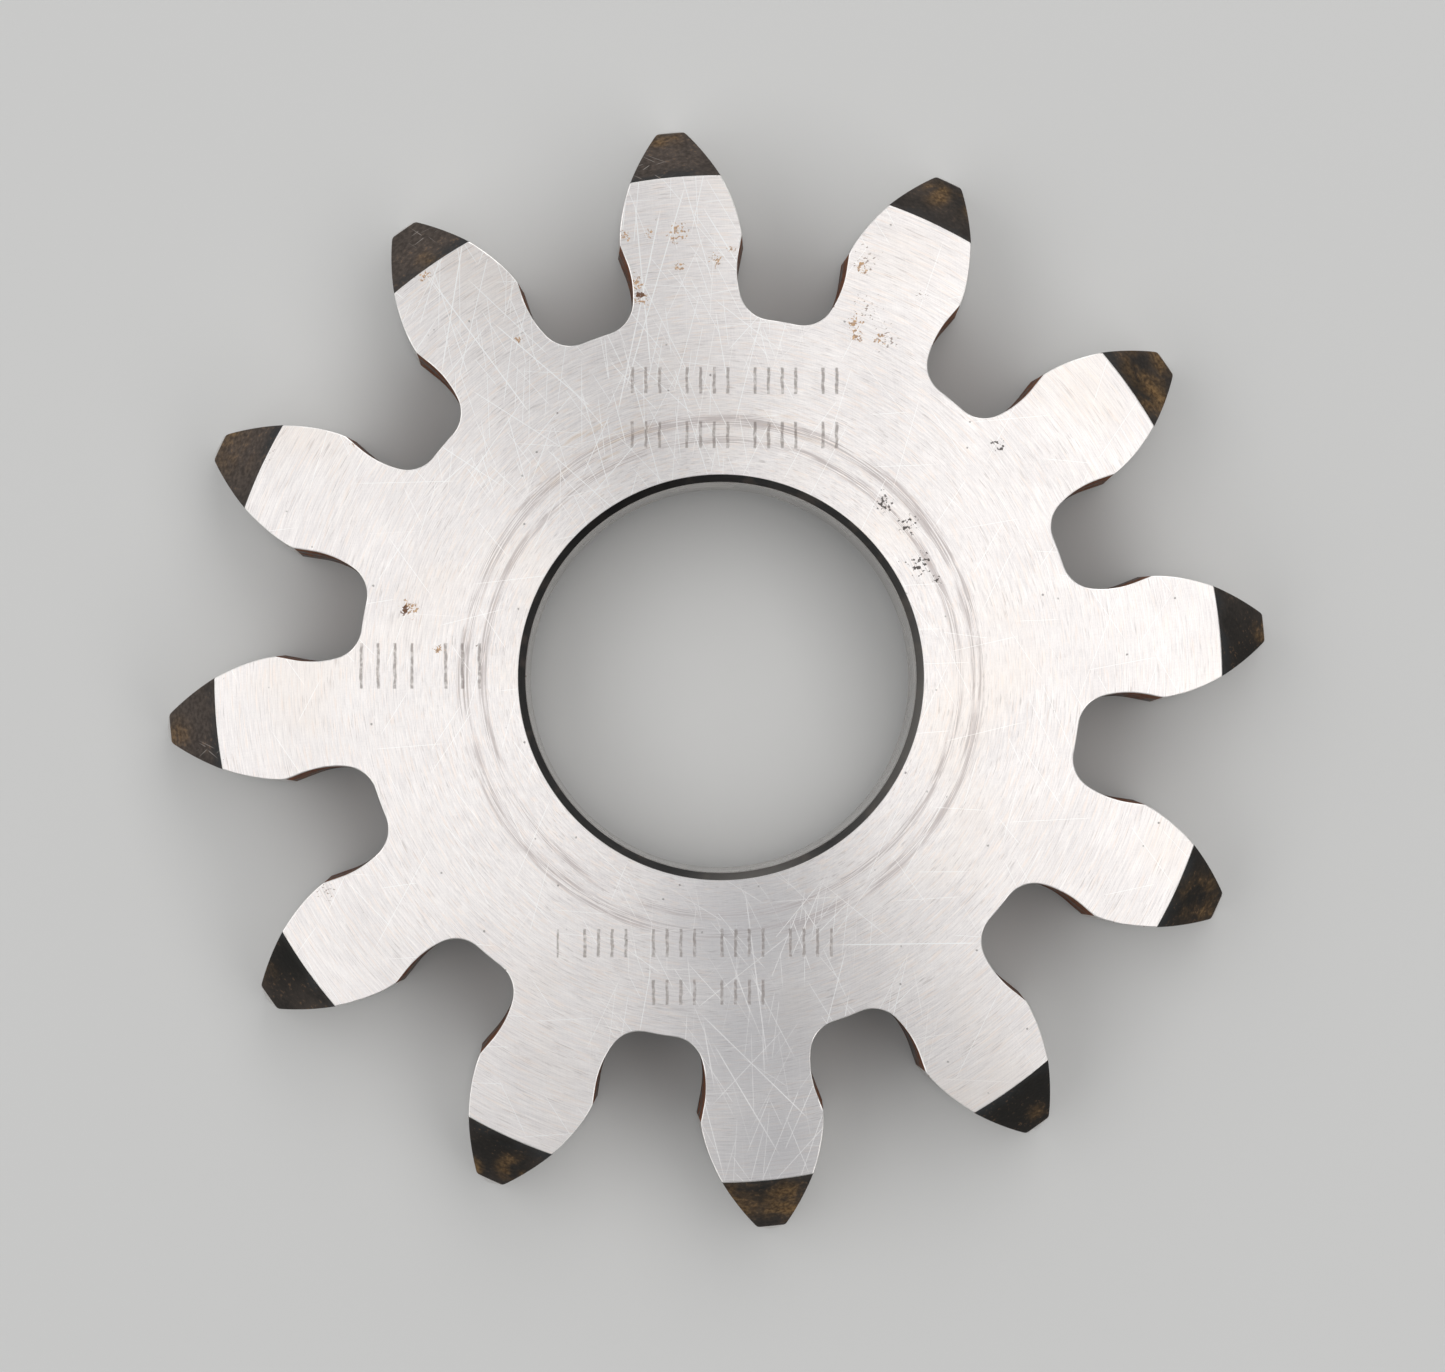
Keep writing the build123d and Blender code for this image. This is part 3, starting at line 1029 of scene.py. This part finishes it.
def bore_chamfer():
    """A narrow turned chamfer, painted dark as a stand-in for the dark surroundings that it reflects,
    with painted light and painted shade on its two sides.
    """
    s = Surface("bore_chamfer", metallic=0.85, roughness=0.42)
    rings = s.noise(lay_round_wall(s, 9, 12))
    patches = s.between(s.noise(s.place, scale=0.35, detail=3), 0.5, 0.7)
    # The base colour is a painted dark reflection; the spots below are painted light and painted
    # shade.
    s.set("Base Color", s.layered(s.mix(rings, *PAINTED_DARK_REFLECTION), (
        (patches, 1, PATCHY_CHAMFER),
        (s.spots(LIT_CHAMFER_PLACES), 0.7, PAINTED_LIGHT_CHAMFER),
        (s.spots(SHADED_CHAMFER_PLACES), 0.8, PAINTED_SHADE_CHAMFER),
    )))
    s.bump(rings, distance=0.01)


def make_materials():
    back_face()
    tip_land()
    root_wall()
    bore_chamfer()
    ground_steel("tip_relief", lambda s: lay_round_wall(s, 3.5, 10), roughness=0.34, depth=0.008)
    ground_steel("flank", lay_up, roughness=0.36, depth=0.008)
    ground_steel(
        "bright_edge", lay_up, roughness=0.3, depth=0.002, stain=0.1, dull=GREY_EDGE, bright=PALE_EDGE
    )
    ground_steel(
        "bore_wall", lambda s: lay_round_wall(s, 4, 12), roughness=0.24, depth=0.004, stain=0.12
    )
    rake = ground_steel("rake_face", lambda s: lay_round(s, 3, 10), roughness=0.36, depth=0.006)
    stretch_highlights(rake)


# ---------------------------------------------------------------- floor, light and camera

# Lengths here are metres.
FLOOR_SIZE = 3.0
FLOOR_COLOUR = (0.6, 0.6, 0.595, 1)

# A pale room whose light grows towards the window side, which is in the view's upper left.
ROOM_COLOUR = (0.965, 0.985, 1, 1)
ROOM_LIGHT = 0.5
ROOM_CONTRAST = 0.6
WINDOW_SIDE = 130

# Each softbox: its direction in the view, its distance, height and size, and its watts.
SOFTBOX_COLOUR = (1, 0.98, 0.96)
SOFTBOXES = {
    "right_softbox": (20, 0.4, 0.8, (2.0, 0.5), 4.8),
    "left_softbox": (182, 0.5, 0.75, (1.1, 0.5), 2.1),
}


def make_floor():
    half = FLOOR_SIZE / 2
    corners = [(-half, -half, 0), (half, -half, 0), (half, half, 0), (-half, half, 0)]
    mesh = bpy.data.meshes.new("floor")
    mesh.from_pydata(corners, [], [(0, 1, 2, 3)])
    material = bpy.data.materials.new("floor")
    material.use_nodes = True
    shader = material.node_tree.nodes["Principled BSDF"]
    shader.inputs["Base Color"].default_value = FLOOR_COLOUR
    shader.inputs["Roughness"].default_value = 0.9
    mesh.materials.append(material)
    floor = bpy.data.objects.new("floor", mesh)
    bpy.context.scene.collection.objects.link(floor)


def add_softbox(name, degrees_round, distance, height, size, watts):
    data = bpy.data.lights.new(name, "AREA")
    data.shape = "RECTANGLE"
    data.size, data.size_y = size
    data.energy = watts
    data.color = SOFTBOX_COLOUR
    lamp = bpy.data.objects.new(name, data)
    lamp.location = (*view_direction(degrees_round) * distance, height)
    lamp.rotation_mode = "QUATERNION"
    lamp.rotation_quaternion = (-lamp.location).to_track_quat("-Z", "Y")
    bpy.context.scene.collection.objects.link(lamp)


def make_room():
    """The world, whose light depends only on how far towards the window a direction points."""
    world = bpy.data.worlds.new("studio")
    world.use_nodes = True
    tree = world.node_tree
    place = tree.nodes.new("ShaderNodeTexCoord")
    toward = tree.nodes.new("ShaderNodeVectorMath")
    toward.operation = "DOT_PRODUCT"
    toward.inputs[1].default_value = (*view_direction(WINDOW_SIDE), 0)
    level = tree.nodes.new("ShaderNodeMapRange")
    level.inputs["From Min"].default_value = -1
    level.inputs["To Min"].default_value = ROOM_LIGHT * (1 - ROOM_CONTRAST)
    level.inputs["To Max"].default_value = ROOM_LIGHT * (1 + ROOM_CONTRAST)
    background = tree.nodes["Background"]
    background.inputs["Color"].default_value = ROOM_COLOUR
    tree.links.new(place.outputs["Generated"], toward.inputs[0])
    tree.links.new(toward.outputs["Value"], level.inputs["Value"])
    tree.links.new(level.outputs["Result"], background.inputs["Strength"])
    bpy.context.scene.world = world


def make_camera():
    data = bpy.data.cameras.new("camera")
    data.lens = CAMERA_LENS
    data.sensor_width = 36
    data.shift_x, data.shift_y = CAMERA_SHIFT
    data.clip_start, data.clip_end = 0.01, 10
    camera = bpy.data.objects.new("camera", data)
    foot = rotated(Vector(CAMERA_FOOT), -VIEW_TURN)
    camera.location = (*foot * MM, (THICKNESS + CAMERA_DISTANCE) * MM)
    camera.rotation_euler = (*CAMERA_TILT, -VIEW_TURN)
    bpy.context.scene.collection.objects.link(camera)
    bpy.context.scene.camera = camera


make_materials()
cutter = build_cutter()
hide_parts("cutter")
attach(cutter, "root")

make_floor()
make_room()
for name, softbox in SOFTBOXES.items():
    add_softbox(name, *softbox)
make_camera()
bpy.context.scene.view_settings.view_transform = "Standard"
